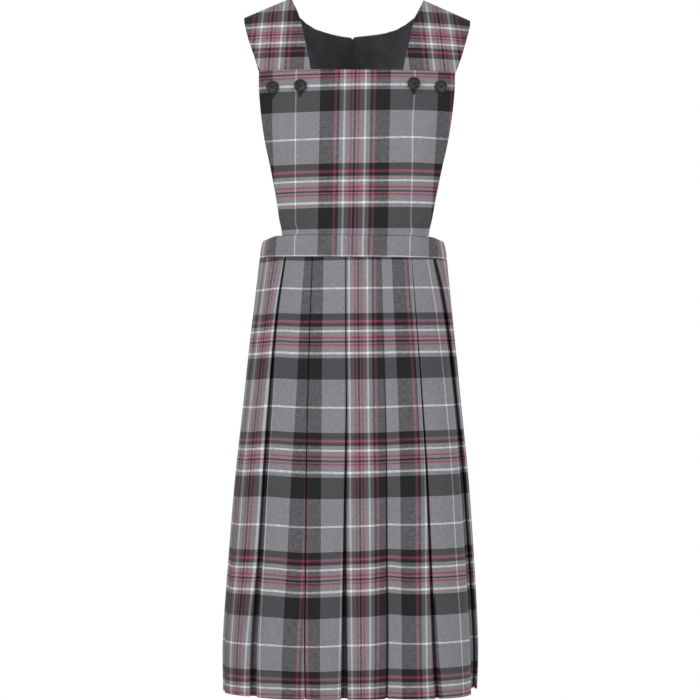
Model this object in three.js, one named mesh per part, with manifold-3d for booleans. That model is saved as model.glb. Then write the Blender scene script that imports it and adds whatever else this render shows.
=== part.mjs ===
// Child's pinafore dress in woven check: a buttoned bib, a lined back cut in one with its
// shoulder straps, a waistband and a box-pleated skirt, in the hollow form it has when worn.
// Millimetres. +Z is up, the front faces -Y, and the origin is midway between the two
// shoulder straps, at the height where they rest on the shoulders.
import * as THREE from 'three';
import { mergeVertices } from 'three/addons/utils/BufferGeometryUtils.js';
import Module from 'manifold-3d';

const wasm = await Module();
wasm.setup();

// Driving dimensions
const SEAM_GAP = 0.3;
const BIB_TOP_Z = -71.6;
const BAND_TOP_Z = -265.7;
const BAND_HEIGHT = 25.1;
const HEM_Z = -802;
const PLEATS = 16;
const FRONT_PLEATS = 8;
const BUTTON_DIAMETER = 15;

// Cloth thicknesses and how far each layer stands off the figure
const LINING = { lift: 0.2, thickness: 1.0 };
const BACK = { lift: 1.5, thickness: 1.4 };
const BIB_THICKNESS = 1.7;
const BAND = { lift: 1.0, thickness: 3.0 };
const SKIRT_THICKNESS = 1.2;

// A general figure's level sections under the bodice
const FIGURE = [
  { z: -72, halfWidth: 147, halfDepth: 73, square: 2.3 },
  { z: -130, halfWidth: 136, halfDepth: 75.5, square: 2.25 },
  { z: -190, halfWidth: 122, halfDepth: 77, square: 2.25 },
  { z: -240, halfWidth: 111, halfDepth: 76.8, square: 2.3 },
  { z: -266, halfWidth: 108.5, halfDepth: 76.5, square: 2.3 },
  { z: -291, halfWidth: 108.7, halfDepth: 76.7, square: 2.3 },
];

// The shoulder: the arch from chest to back, and how its crest falls away from the neck
const ARCH_BASE_Z = FIGURE[0].z;
const ARCH_ROUNDNESS = 1.8;
const CREST = { atX: 78.6, z: 18, slope: 0.36 };
const PATH_UNIT = 100;

// Bib: half width and stand-off from the figure, from its top edge to the waist seam
const BIB_ROWS = [
  { z: BIB_TOP_Z, halfWidth: 114.7, lift: 3.6 },
  { z: -95, halfWidth: 114.2, lift: 3.6 },
  { z: -122, halfWidth: 111.4, lift: 3.6 },
  { z: -154, halfWidth: 106.8, lift: 3.0 },
  { z: -184, halfWidth: 100.6, lift: 2.4 },
  { z: -210, halfWidth: 95.6, lift: 2.0 },
  { z: -236, halfWidth: 91, lift: 1.7 },
  { z: BAND_TOP_Z + SEAM_GAP, halfWidth: 85.8, lift: 1.6 },
];
const BIB_COLUMNS = 20;

// Half back with its strap. 'along' runs from the strap's front end, behind the bib, over the
// crest at 0 and down the back to the waist: from -1 to 1 on the arch, and 100 mm a unit below it.
const BACK_ROWS = [
  { along: -1.44, inner: 47, outer: 106 },
  { along: -1.2, inner: 50.4, outer: 109.5 },
  { along: -1, inner: 53.8, outer: 112.5 },
  { along: -0.87, inner: 57, outer: 118 },
  { along: -0.75, inner: 60.9, outer: 122.8 },
  { along: -0.6, inner: 64.9, outer: 127.6 },
  { along: -0.45, inner: 69.8, outer: 131 },
  { along: -0.3, inner: 75, outer: 133.4 },
  { along: -0.15, inner: 77.8, outer: 134.3 },
  { along: 0, inner: 78.6, outer: 134.4 },
  { along: 0.15, inner: 77.2, outer: 133.4 },
  { along: 0.28, inner: 74, outer: 131.6 },
  { along: 0.396, inner: 69.5, outer: 129.8 },
  { along: 0.49, inner: 60.2, outer: 128 },
  { along: 0.562, inner: 48.6, outer: 126.4 },
  { along: 0.615, inner: 34, outer: 125 },
  { along: 0.655, inner: 17, outer: 123.9 },
  { along: 0.682, inner: SEAM_GAP / 2, outer: 123.2 },
  { along: 0.83, inner: SEAM_GAP / 2, outer: 118.6 },
  { along: 1, inner: SEAM_GAP / 2, outer: 113 },
  { along: 1.3, inner: SEAM_GAP / 2, outer: 110 },
  { along: 1.6, inner: SEAM_GAP / 2, outer: 106.4 },
  { along: 2.1, inner: SEAM_GAP / 2, outer: 98.5 },
  { along: 2.55, inner: SEAM_GAP / 2, outer: 90.6 },
  { along: 2.934, inner: SEAM_GAP / 2, outer: 85.8 },
];
const BACK_COLUMNS = 9;
const LINING_TOP = 0.15;
const LINING_EDGE_INSET = 1.2;

// Waistband: its free top edge dips towards the side seams
const BAND_COLUMNS = 28;
const BAND_LEVELS = [0, 0.12, 0.88, 1];
const BAND_ROUNDING = 0.7;
const SIDE_DIP = { from: 88, to: 112, depth: 5.5 };

// Skirt: the outer faces' level sections, from the waist seam to the hem
const SKIRT_TOP_Z = BAND_TOP_Z - BAND_HEIGHT - SEAM_GAP;
const SKIRT_ROWS = [
  { z: SKIRT_TOP_Z, halfWidth: 111.7, halfDepth: 79.4, square: 2.35 },
  { z: -340, halfWidth: 117, halfDepth: 83.5, square: 2.4 },
  { z: -394, halfWidth: 123, halfDepth: 88.5, square: 2.5 },
  { z: -466, halfWidth: 130, halfDepth: 94.5, square: 2.7 },
  { z: -556, halfWidth: 139, halfDepth: 102.5, square: 2.9 },
  { z: -650, halfWidth: 146, halfDepth: 109, square: 3.0 },
  { z: -748, halfWidth: 151.8, halfDepth: 114.5, square: 3.15 },
  { z: HEM_Z, halfWidth: 151, halfDepth: 115.5, square: 3.2 },
];

// Pleats of the front: where each recess starts, round the waist and round the hem from the
// centre front, and how far it opens at the hem. The back's pleats are evenly spaced.
const FRONT_RECESSES = [
  { waist: -161, hem: -226, opens: 5 },
  { waist: -121, hem: -168, opens: 8 },
  { waist: -86, hem: -121, opens: 8.5 },
  { waist: -49.5, hem: -55, opens: 2.5 },
  { waist: -10.5, hem: -10.5, opens: 6.5 },
  { waist: 32.5, hem: 42, opens: 2.5 },
  { waist: 71, hem: 91, opens: 11 },
  { waist: 104, hem: 153, opens: 7 },
  { waist: 140, hem: 208, opens: 6 },
];
const BACK_RECESS_OPENS = 4.5;
const PLEAT_FOLD = 11;
const LAYER_PITCH = 2.4;
const CLOSED_RECESS = 1.9;
const OPENING_CURVE = 0.7;

// Buttons, each on the bib with its centre at x and z
const BUTTONS = [
  { name: 'button_left_outer', x: -97.5, z: -90.2 },
  { name: 'button_left_inner', x: -65.6, z: -89.4 },
  { name: 'button_right_inner', x: 67.8, z: -87.1 },
  { name: 'button_right_outer', x: 99.6, z: -88.7 },
];
const BUTTON_GAP = 0.4;
const BUTTON_RIM = { height: 2.8, width: 1.6, round: 0.6 };
const BUTTON_WELL_HEIGHT = 1.9;
const BUTTON_HOLES = { count: 4, radius: 0.9, offset: 2.1 };

const FINISH = {
  check: { color: 0x77767a, roughness: 0.85, metalness: 0 },
  lining: { color: 0x323236, roughness: 0.75, metalness: 0 },
  button: { color: 0x2a2526, roughness: 0.35, metalness: 0 },
};

// Reads a table of rows sorted by one column, easing between rows
function readTable(table, by, at, column) {
  const rising = table[table.length - 1][by] > table[0][by] ? 1 : -1;
  let i = table.findIndex((row) => (row[by] - at) * rising >= 0);
  i = THREE.MathUtils.clamp(i < 0 ? table.length - 1 : i, 1, table.length - 1);
  const [low, high] = [table[i - 1], table[i]];
  const before = table[Math.max(i - 2, 0)];
  const after = table[Math.min(i + 1, table.length - 1)];
  const span = high[by] - low[by];
  const t = THREE.MathUtils.clamp((at - low[by]) / span, 0, 1);
  const startSlope = ((high[column] - before[column]) / (high[by] - before[by])) * span;
  const endSlope = ((after[column] - low[column]) / (after[by] - low[by])) * span;
  const t2 = t * t;
  const t3 = t2 * t;
  return (2 * t3 - 3 * t2 + 1) * low[column] + (t3 - 2 * t2 + t) * startSlope
    + (3 * t2 - 2 * t3) * high[column] + (t3 - t2) * endSlope;
}

function sectionAt(table, z) {
  return {
    halfWidth: readTable(table, 'z', z, 'halfWidth'),
    halfDepth: readTable(table, 'z', z, 'halfDepth'),
    square: readTable(table, 'z', z, 'square'),
  };
}

// How deep a level section is at x, on its front or back half
function depthAt(section, x) {
  const share = Math.min(Math.abs(x) / section.halfWidth, 1);
  return section.halfDepth * (1 - share ** section.square) ** (1 / section.square);
}

function crestHeight(x) {
  return CREST.z - (Math.abs(x) - CREST.atX) * CREST.slope;
}

// A point on the figure at x, along the path from chest over shoulder to back
function figurePoint(x, along) {
  const side = along < 0 ? -1 : 1;
  const reach = Math.abs(along);
  if (reach > 1) {
    const z = ARCH_BASE_Z - (reach - 1) * PATH_UNIT;
    return new THREE.Vector3(x, side * depthAt(sectionAt(FIGURE, z), x), z);
  }
  const angle = (reach * Math.PI) / 2;
  const bend = 2 / ARCH_ROUNDNESS;
  const depth = depthAt(sectionAt(FIGURE, ARCH_BASE_Z), x) * Math.sin(angle) ** bend;
  const rise = (crestHeight(x) - ARCH_BASE_Z) * Math.cos(angle) ** bend;
  return new THREE.Vector3(x, side * depth, ARCH_BASE_Z + rise);
}

// The same point moved out along the surface's normal, which is worked out from a near point
// towards the centre line and two near points along the path
function liftedFigurePoint(x, along, lift) {
  const step = 0.01;
  const outwards = x < 0 ? -1 : 1;
  const point = figurePoint(x, along);
  const across = figurePoint(x - outwards, along).sub(point).multiplyScalar(-outwards);
  const onward = figurePoint(x, along + step).sub(figurePoint(x, along - step));
  return point.addScaledVector(onward.cross(across).normalize(), -lift);
}

// One closed solid between an outer and an inner grid of points, both rows by columns
function clothSolid(outer, inner) {
  const rows = outer.length;
  const columns = outer[0].length;
  const positions = [...outer.flat(), ...inner.flat()].flatMap((p) => [p.x, p.y, p.z]);
  const index = [];
  const outerAt = (r, c) => r * columns + c;
  const innerAt = (r, c) => rows * columns + r * columns + c;
  const quad = (a, b, c, d) => index.push(a, b, c, a, c, d);
  for (let r = 0; r < rows - 1; r += 1) {
    for (let c = 0; c < columns - 1; c += 1) {
      quad(outerAt(r, c), outerAt(r + 1, c), outerAt(r + 1, c + 1), outerAt(r, c + 1));
      quad(innerAt(r, c), innerAt(r, c + 1), innerAt(r + 1, c + 1), innerAt(r + 1, c));
    }
    const last = columns - 1;
    quad(outerAt(r, 0), innerAt(r, 0), innerAt(r + 1, 0), outerAt(r + 1, 0));
    quad(outerAt(r, last), outerAt(r + 1, last), innerAt(r + 1, last), innerAt(r, last));
  }
  for (let c = 0; c < columns - 1; c += 1) {
    const last = rows - 1;
    quad(outerAt(0, c), outerAt(0, c + 1), innerAt(0, c + 1), innerAt(0, c));
    quad(outerAt(last, c), innerAt(last, c), innerAt(last, c + 1), outerAt(last, c + 1));
  }
  const geometry = new THREE.BufferGeometry();
  geometry.setAttribute('position', new THREE.Float32BufferAttribute(positions, 3));
  geometry.setIndex(enclosedVolume(positions, index) < 0 ? index.reverse() : index);
  return geometry;
}

function enclosedVolume(positions, index) {
  const [a, b, c] = [new THREE.Vector3(), new THREE.Vector3(), new THREE.Vector3()];
  let volume = 0;
  for (let i = 0; i < index.length; i += 3) {
    a.fromArray(positions, index[i] * 3);
    b.fromArray(positions, index[i + 1] * 3);
    c.fromArray(positions, index[i + 2] * 3);
    volume += a.dot(b.cross(c)) / 6;
  }
  return volume;
}

function piece(name, geometry, finish) {
  geometry.computeVertexNormals();
  const mesh = new THREE.Mesh(geometry, new THREE.MeshStandardMaterial(finish));
  mesh.name = name;
  return mesh;
}

// The bib is a flat-cut panel that wraps the chest, over the strap ends
function bibPoint(x, z, lift) {
  return liftedFigurePoint(x, -1 - (ARCH_BASE_Z - z) / PATH_UNIT, lift);
}

function bib() {
  const grid = (extra) => BIB_ROWS.map((row) => {
    const columns = [];
    for (let c = 0; c <= BIB_COLUMNS; c += 1) {
      const x = row.halfWidth * ((2 * c) / BIB_COLUMNS - 1);
      columns.push(bibPoint(x, Math.min(row.z, ARCH_BASE_Z), row.lift + extra));
    }
    return columns;
  });
  return piece('bib', clothSolid(grid(BIB_THICKNESS), grid(0)), FINISH.check);
}

// Half of the back, from its edge at the neck or centre seam to its armhole edge
function halfBack(side, rows, layer, inset) {
  const grid = (lift) => rows.map((row) => {
    const columns = [];
    for (let c = 0; c <= BACK_COLUMNS; c += 1) {
      const start = row.inner > SEAM_GAP ? row.inner + inset : row.inner;
      const x = THREE.MathUtils.lerp(start, row.outer - inset, c / BACK_COLUMNS);
      columns.push(liftedFigurePoint(side * x, row.along, lift));
    }
    return columns;
  });
  return clothSolid(grid(layer.lift + layer.thickness), grid(layer.lift));
}

function backsAndLinings() {
  const lined = BACK_ROWS.filter((row) => row.along >= LINING_TOP);
  return [['left', -1], ['right', 1]].flatMap(([name, side]) => [
    piece(`back_${name}`, halfBack(side, BACK_ROWS, BACK, 0), FINISH.check),
    piece(`lining_${name}`, halfBack(side, lined, LINING, LINING_EDGE_INSET), FINISH.lining),
  ]);
}

// Half of the waistband, round the front or back between the side seams
function waistband(name, side) {
  const section = sectionAt(FIGURE, BAND_TOP_Z);
  const seamAngle = SEAM_GAP / 2 / section.halfDepth;
  const grid = (lift, rounding) => BAND_LEVELS.map((level) => {
    const columns = [];
    for (let c = 0; c <= BAND_COLUMNS; c += 1) {
      const angle = THREE.MathUtils.lerp(seamAngle, Math.PI - seamAngle, c / BAND_COLUMNS);
      const point = ringPoint(section, side * angle, lift - (level % 1 === 0 ? rounding : 0));
      const dip = THREE.MathUtils.smoothstep(Math.abs(point.x), SIDE_DIP.from, SIDE_DIP.to);
      const top = BAND_TOP_Z - dip * SIDE_DIP.depth;
      point.z = THREE.MathUtils.lerp(top, BAND_TOP_Z - BAND_HEIGHT, level);
      columns.push(point);
    }
    return columns;
  });
  const outer = grid(BAND.lift + BAND.thickness, BAND_ROUNDING);
  return piece(name, clothSolid(outer, grid(BAND.lift, 0)), FINISH.check);
}

// A point of a level section at an angle from +X, moved out by lift
function ringPoint(section, angle, lift) {
  const bend = 2 / section.square;
  const [cosine, sine] = [Math.cos(angle), Math.sin(angle)];
  const x = section.halfWidth * Math.sign(cosine) * Math.abs(cosine) ** bend;
  const y = section.halfDepth * Math.sign(sine) * Math.abs(sine) ** bend;
  const steep = section.square - 1;
  const normal = new THREE.Vector3(
    (Math.sign(x) * (Math.abs(x) / section.halfWidth) ** steep) / section.halfWidth,
    (Math.sign(y) * (Math.abs(y) / section.halfDepth) ** steep) / section.halfDepth,
    0,
  ).normalize();
  return new THREE.Vector3(x, y, 0).addScaledVector(normal, lift);
}

// A level section measured by its length: returns a point at a distance round it from the
// centre front, towards +X, and a depth in from it
function measuredRing(section, z) {
  const steps = 1440;
  const ring = [];
  let length = 0;
  for (let i = 0; i <= steps; i += 1) {
    const point = ringPoint(section, -Math.PI / 2 + (i / steps) * 2 * Math.PI, 0);
    length += i ? point.distanceTo(ring[i - 1].point) : 0;
    ring.push({ point, at: length });
  }
  const pointAt = (at, depth) => {
    const wrapped = THREE.MathUtils.euclideanModulo(at, length);
    let i = ring.findIndex((mark) => mark.at > wrapped);
    i = i < 1 ? 1 : i;
    const [from, to] = [ring[i - 1], ring[i]];
    const tangent = to.point.clone().sub(from.point).normalize();
    const inward = new THREE.Vector3(-tangent.y, tangent.x, 0);
    return from.point.clone().addScaledVector(tangent, wrapped - from.at)
      .addScaledVector(inward, depth).setZ(z);
  };
  return { length, pointAt };
}

// Where every recess starts and how wide it is, at one row of the skirt
function recessesAt(ringLengths, ring, down) {
  const width = (opens) => CLOSED_RECESS + (opens - CLOSED_RECESS) * down ** OPENING_CURVE;
  const place = (waist, hem) => THREE.MathUtils.lerp(
    waist / ringLengths.waist,
    hem / ringLengths.hem,
    down,
  ) * ring.length;
  const front = FRONT_RECESSES.map((row) => ({
    start: place(row.waist, row.hem),
    width: width(row.opens),
  }));
  const last = front[front.length - 1].start;
  const gap = front[0].start + ring.length - last;
  const backPleats = PLEATS - FRONT_PLEATS;
  const back = [];
  for (let i = 1; i < backPleats; i += 1) {
    back.push({ start: last + (gap * i) / backPleats, width: width(BACK_RECESS_OPENS) });
  }
  return { front, back: [front[front.length - 1], ...back, front[0]] };
}

// The wall's middle line through a run of box pleats, as distances round the ring and depths.
// It starts and ends on the underlay behind a recess, where the seam is hidden.
function pleatLine(recesses) {
  const line = [];
  const seam = SEAM_GAP / 2;
  recesses.forEach((recess, i) => {
    const end = recess.start + recess.width;
    const middle = recess.start + recess.width / 2;
    if (i > 0) {
      line.push([recess.start - PLEAT_FOLD, 0], [recess.start, 0]);
      line.push([recess.start, LAYER_PITCH], [recess.start - PLEAT_FOLD, LAYER_PITCH]);
      line.push([recess.start - PLEAT_FOLD, 2 * LAYER_PITCH]);
      line.push([i < recesses.length - 1 ? middle : middle - seam, 2 * LAYER_PITCH]);
    }
    if (i < recesses.length - 1) {
      const next = recesses[i + 1];
      if (i === 0) line.push([middle + seam, 2 * LAYER_PITCH]);
      line.push([end + PLEAT_FOLD, 2 * LAYER_PITCH], [end + PLEAT_FOLD, LAYER_PITCH]);
      line.push([end, LAYER_PITCH], [end, 0], [end + PLEAT_FOLD, 0]);
      line.push([(end + next.start) / 2, 0]);
    }
  });
  return line;
}

// Moves a middle line to one side by half the wall, keeping its square corners
function offsetLine(line, distance) {
  return line.map(([x, y], i) => {
    const before = line[Math.max(i - 1, 0)];
    const after = line[Math.min(i + 1, line.length - 1)];
    const arrives = unit(x - before[0], y - before[1]);
    const leaves = unit(after[0] - x, after[1] - y);
    const [a, b] = [i ? arrives : leaves, i < line.length - 1 ? leaves : arrives];
    const share = distance / (1 + a[0] * b[0] + a[1] * b[1]);
    return [x + (a[1] + b[1]) * share, y - (a[0] + b[0]) * share];
  });
}

function unit(x, y) {
  const length = Math.hypot(x, y) || 1;
  return [x / length, y / length];
}

function skirt() {
  const rings = SKIRT_ROWS.map((row) => measuredRing(row, row.z));
  const ringLengths = { waist: rings[0].length, hem: rings[rings.length - 1].length };
  const grid = (side, distance) => rings.map((ring, r) => {
    const down = (SKIRT_TOP_Z - SKIRT_ROWS[r].z) / (SKIRT_TOP_Z - HEM_Z);
    const line = pleatLine(recessesAt(ringLengths, ring, down)[side]
      .map((recess, i, all) => unwrapped(recess, i, all, ring.length)));
    return offsetLine(line, distance)
      .map(([at, depth]) => ring.pointAt(at, depth + SKIRT_THICKNESS / 2));
  });
  return ['front', 'back'].map((side) => {
    const half = SKIRT_THICKNESS / 2;
    return piece(`skirt_${side}`, clothSolid(grid(side, half), grid(side, -half)), FINISH.check);
  });
}

// The last recess of the back is the first of the front, one whole ring further on
function unwrapped(recess, i, all, length) {
  const passed = i === all.length - 1 && recess.start < all[0].start;
  return { start: recess.start + (passed ? length : 0), width: recess.width };
}

// A button: a turned disc with a raised rim, and four holes through its well
function button({ name, x, z }) {
  const radius = BUTTON_DIAMETER / 2;
  const { height, width, round } = BUTTON_RIM;
  const profile = [
    [0, 0],
    [radius - round, 0],
    [radius, round],
    [radius, height - round],
    [radius - round, height],
    [radius - width, height],
    [radius - width - (height - BUTTON_WELL_HEIGHT), BUTTON_WELL_HEIGHT],
    [0, BUTTON_WELL_HEIGHT],
  ].map(([r, h]) => new THREE.Vector2(r, h));
  let solid = manifoldOf(new THREE.LatheGeometry(profile, 24));
  for (let i = 0; i < BUTTON_HOLES.count; i += 1) {
    const angle = ((i + 0.5) / BUTTON_HOLES.count) * 2 * Math.PI;
    const hole = new THREE.CylinderGeometry(BUTTON_HOLES.radius, BUTTON_HOLES.radius, 3 * height, 8);
    const offset = BUTTON_HOLES.offset;
    hole.translate(offset * Math.cos(angle), 0, offset * Math.sin(angle));
    solid = solid.subtract(manifoldOf(hole));
  }
  const mesh = piece(name, geometryOf(solid), FINISH.button);
  const lift = readTable(BIB_ROWS, 'z', z, 'lift') + BIB_THICKNESS;
  const seat = bibPoint(x, z, lift);
  const outward = bibPoint(x, z, lift + 1).sub(seat).normalize();
  mesh.position.copy(seat.addScaledVector(outward, BUTTON_GAP));
  mesh.quaternion.setFromUnitVectors(new THREE.Vector3(0, 1, 0), outward);
  return mesh;
}

function manifoldOf(geometry) {
  geometry.deleteAttribute('normal');
  geometry.deleteAttribute('uv');
  const merged = mergeVertices(geometry, 1e-4);
  return new wasm.Manifold(new wasm.Mesh({
    numProp: 3,
    vertProperties: new Float32Array(merged.attributes.position.array),
    triVerts: new Uint32Array(merged.index.array),
  }));
}

function geometryOf(solid) {
  const mesh = solid.getMesh();
  const geometry = new THREE.BufferGeometry();
  geometry.setAttribute('position', new THREE.Float32BufferAttribute(mesh.vertProperties, 3));
  geometry.setIndex(new THREE.Uint32BufferAttribute(mesh.triVerts, 1));
  return geometry;
}

const dress = new THREE.Group();
dress.name = 'pinafore_dress';
dress.add(
  bib(),
  ...backsAndLinings(),
  waistband('waistband_front', -1),
  waistband('waistband_back', 1),
  ...skirt(),
  ...BUTTONS.map(button),
);

export default dress;
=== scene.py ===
"""A child's checked pinafore dress in the hollow form it has when worn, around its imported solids.

Sizes are millimetres until a mesh is placed, which turns them to Blender's metres. The front faces
-Y, +Z is up, and the origin is midway between the shoulder straps. Each panel starts as a flat
grid, like the cut cloth, is laid on the dress's form, and gets its thickness. Its UV map holds its
place in the check in millimetres: u across the warp stripes, v down the weft stripes. In names,
left is the side at -X, which is on the left from the front.
"""
import math

import bpy
import numpy as np
from mathutils import Matrix, Vector


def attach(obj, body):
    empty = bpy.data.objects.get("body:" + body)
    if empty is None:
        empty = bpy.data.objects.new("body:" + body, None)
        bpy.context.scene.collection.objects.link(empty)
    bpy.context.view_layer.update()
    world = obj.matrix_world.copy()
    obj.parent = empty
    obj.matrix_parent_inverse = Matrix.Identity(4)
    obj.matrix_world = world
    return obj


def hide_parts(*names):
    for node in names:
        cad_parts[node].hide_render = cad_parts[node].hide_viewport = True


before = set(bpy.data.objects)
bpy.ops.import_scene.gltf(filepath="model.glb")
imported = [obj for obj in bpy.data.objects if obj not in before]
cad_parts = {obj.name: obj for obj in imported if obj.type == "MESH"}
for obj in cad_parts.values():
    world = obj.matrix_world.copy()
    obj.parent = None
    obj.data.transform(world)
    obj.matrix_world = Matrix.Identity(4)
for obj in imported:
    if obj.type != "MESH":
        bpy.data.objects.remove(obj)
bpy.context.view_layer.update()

MM = 0.001


def table(columns, *rows):
    """Named columns of a short table, as arrays."""
    return dict(zip(columns.split(), np.array(rows, float).T))


# The form, as the solids have it apart from a few millimetres that were read later: the figure
# under the dress, and how far each panel stands off it
FIGURE = table(
    "z half_width half_depth square",
    (-72, 147, 73, 2.3),
    (-130, 136, 75.5, 2.25),
    (-190, 122, 77, 2.25),
    (-240, 111, 76.8, 2.3),
    (-266, 108.5, 76.5, 2.3),
    (-291, 108.7, 76.7, 2.3),
)
ARCH_BASE_Z = -72
ARCH_ROUNDNESS = 1.8
CREST_X, CREST_Z, CREST_SLOPE = 78.6, 18, 0.43
PATH_UNIT = 100
SEAM_GAP = 0.3

BIB_TOP_Z = -71.6
BAND_TOP_Z = -265.7
BAND_HEIGHT = 25.1
BIB = table(
    "z half_width lift",
    (BIB_TOP_Z, 114.7, 3.6),
    (-95, 114.2, 3.6),
    (-122, 111.4, 3.6),
    (-154, 106.8, 3.0),
    (-184, 100.6, 2.4),
    (-210, 95.6, 2.0),
    (-236, 91, 1.7),
    (BAND_TOP_Z + SEAM_GAP, 85.8, 1.6),
)
BIB_THICKNESS = 1.7
# The bib's left edge lies further in than its right one
BIB_LEFT_TUCK = 3

# Half back with its strap: 'along' is -1 to 1 over the shoulder and 100 mm a unit below it
BACK = table(
    "along inner outer",
    (-1.44, 47, 106),
    (-1.2, 50.4, 109.5),
    (-1, 53.8, 112.5),
    (-0.87, 57, 118),
    (-0.75, 60.9, 122.8),
    (-0.6, 64.9, 127.6),
    (-0.45, 69.8, 131),
    (-0.3, 75, 133.4),
    (-0.15, 77.8, 134.3),
    (0, 78.6, 134.4),
    (0.15, 77.2, 133.4),
    (0.28, 74, 131.6),
    (0.396, 69.5, 129.8),
    (0.49, 60.2, 128),
    (0.562, 48.6, 126.4),
    (0.615, 34, 125),
    (0.655, 17, 123.9),
    (0.682, 0.15, 123.2),
    (0.83, 0.15, 118.6),
    (1, 0.15, 113),
    (1.3, 0.15, 110),
    (1.6, 0.15, 106.4),
    (2.1, 0.15, 98.5),
    (2.55, 0.15, 90.6),
    (2.934, 0.15, 85.8),
)
BACK_LIFT, BACK_THICKNESS = 2.2, 1.4
LINING_LIFT, LINING_THICKNESS = 0.7, 0.8
LINING_TOP = 0.15
LINING_INSET = 1.2
CENTRE_GAP = 0.02
# The centre-back seam lies a little off the middle, which moves the edge as far out as NECK_REACH
BACK_SEAM_X = -3.8
NECK_REACH = 34
# Both straps lean to +X, and the right one flares just above the bib, where 'along' is -1
STRAP_SWAY = 1.5
RIGHT_STRAP_FLARE, FLARE_REACH = 2.6, 0.25

# The waistband, whose top edge dips at the sides and hugs the figure there
BAND_LIFT, BAND_SIDE_LIFT, BAND_THICKNESS = 2.5, 1.5, 2.2
SIDE_DIP_FROM, SIDE_DIP_TO, SIDE_DIP = 88, 112, 5.5
BAND_HUG = 3

HEM_Z = -803.6
SKIRT_TOP_Z = BAND_TOP_Z - BAND_HEIGHT - SEAM_GAP
SKIRT = table(
    "z half_width half_depth square",
    (SKIRT_TOP_Z, 111.7, 79.4, 2.35),
    (-340, 117, 83.5, 2.4),
    (-394, 123, 88.5, 2.5),
    (-466, 130, 94.5, 2.7),
    (-556, 139, 102.5, 2.9),
    (-650, 146, 109, 3.0),
    (-748, 151.8, 114.5, 3.15),
    (HEM_Z, 151, 115.5, 3.2),
)

# The middles of the front's recesses between pleats, at shares of the way down the skirt: how far
# round they are from the centre front, on a ring drawn in to the length of the waist
RECESS_LINES = table(
    "down 0 1 2 3 4 5 6 7 8",
    (0, -162, -121, -84.5, -49.5, -10.2, 31.8, 69.5, 104, 142),
    (0.12, -162, -124.5, -87.3, -48, -9, 31.8, 70, 116.2, 147),
    (0.35, -160, -128, -82.9, -44.3, -6.5, 31.7, 69.8, 121, 152),
    (0.62, -157, -129, -79, -39.8, -6.2, 29.9, 68.2, 116, 153),
    (0.9, -155, -129.5, -79, -37, -5.4, 28.9, 67.6, 115.5, 153),
    (1, -155, -129.5, -79, -36, -5.2, 28.5, 70.5, 119, 153),
)
# How wide each recess is at the waist and at the hem, and how soon it opens; how far its underlay
# falls back at the hem, and where the underlay's middle lies in the check's warp. That middle is
# set mostly in the black stripes, so the dark cloth paints in part of the recesses' shade; the
# folds' own shadow in the render makes up the rest
FRONT_RECESSES = table(
    "closed opens curve drop warp",
    (1.2, 6, 0.7, 5, 30),
    (1.6, 12, 0.6, 5, 31),
    (3.8, 11, 0.7, 3, 30),
    (1.3, 2.5, 0.7, 2, 24),
    (1.4, 8, 1.8, 6, 30),
    (0.6, 3.8, 1.1, 1, 24),
    (1.3, 6, 0.9, 2.5, 31),
    (5, 31, 0.5, 5, 28),
    (1.5, 6, 0.7, 6, 30),
)
# The back's pleats and recesses are all alike
BACK_PLEATS = 8
BACK_CLOSED, BACK_OPENS, BACK_CURVE, BACK_DROP = 1.3, 4.5, 0.8, 5
PLEAT_FOLD = 11
LAYER_PITCH = 2.2
SKIRT_THICKNESS = 0.9
SKIRT_MIDDLE = 0.6
# The faces dip towards their folded edges, more so at the hem
GROOVE_WIDTH = 9
GROOVE_AT_WAIST, GROOVE_AT_HEM = 0.4, 2.6

# Where each front pleat's face starts and ends in the check's warp, at four places down it
FRONT_WARP = table(
    "down l0 r0 l1 r1 l2 r2 l3 r3 l4 r4 l5 r5 l6 r6 l7 r7",
    (0, 16, 54, -17.5, 10.2, -65, -33.4, 29, 65.5, -15, 29.4, -53.4, -14.5, 47, 77.5, -8.5, 28),
    (0.35, 17.5, 53, -25.5, 12.8, -67.8, -30, 26.5, 66.5, -14.5, 33, -53, -14.5, 45, 82, -14, 23),
    (0.62, 18, 52, -31, 12, -69, -24, 24, 68, -16, 31.2, -54, -10.5, 42.5, 83.5, -18, 19),
    (1, 20, 51, -41, 16.8, -73, -15, 20.5, 71, -17.5, 32.5, -55, -4, 38.6, 85.5, -24, 13),
)
FRONT_PLEATS = 8
# How far the check moves on from one pleat of the back to the next, and where it starts
PLEAT_ADVANCE = 95.5
BACK_WARP_START = 9.5

# The check. Stripes start where the row says, in millimetres, in a thread colour.
REPEAT = 137.4
GREY, BLACK, WHITE, RED = "848388", "1D1C1E", "EEEEF2", "8E3C4F"
# Grey and black threads beside red ones, which their loose fibres tint
PINKED, REDDENED = "93777E", "3A2429"
WARP_SETT = (
    (0, BLACK),
    (1.2, PINKED),
    (2.8, RED),
    (5.5, PINKED),
    (7.3, GREY),
    (11, WHITE),
    (13.3, GREY),
    (17.8, BLACK),
    (20, REDDENED),
    (21.1, RED),
    (23.7, REDDENED),
    (24.9, BLACK),
    (41, GREY),
    (67.7, WHITE),
)
WEFT_SETT = (
    (0, BLACK),
    (6.6, REDDENED),
    (7.8, RED),
    (10.2, REDDENED),
    (11.4, BLACK),
    (14.6, GREY),
    (19.1, WHITE),
    (21.4, GREY),
    (24.4, PINKED),
    (26.3, RED),
    (28.8, PINKED),
    (31.2, BLACK),
    (33.5, PINKED),
    (35, RED),
    (37.4, PINKED),
    (39.4, GREY),
    (44.4, WHITE),
    (46.7, GREY),
    (51.2, BLACK),
    (76.2, GREY),
    (107.2, WHITE),
    (109, GREY),
)
SKIRT_WEFT_START = -357.9
BIB_WEFT_START = -181.6
BAND_WEFT_START = -181.4
BAND_WARP_SHIFT, BAND_WARP_SPREAD = 2.2, 1.02
BIB_WARP_LEAN = 0.009

# The weft rises a little to the right, and the waist seam has drawn the skirt's up
WEFT_RISE = 0.021
WAIST_RISE, WAIST_RISE_REACH = 2, 0.15

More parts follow.
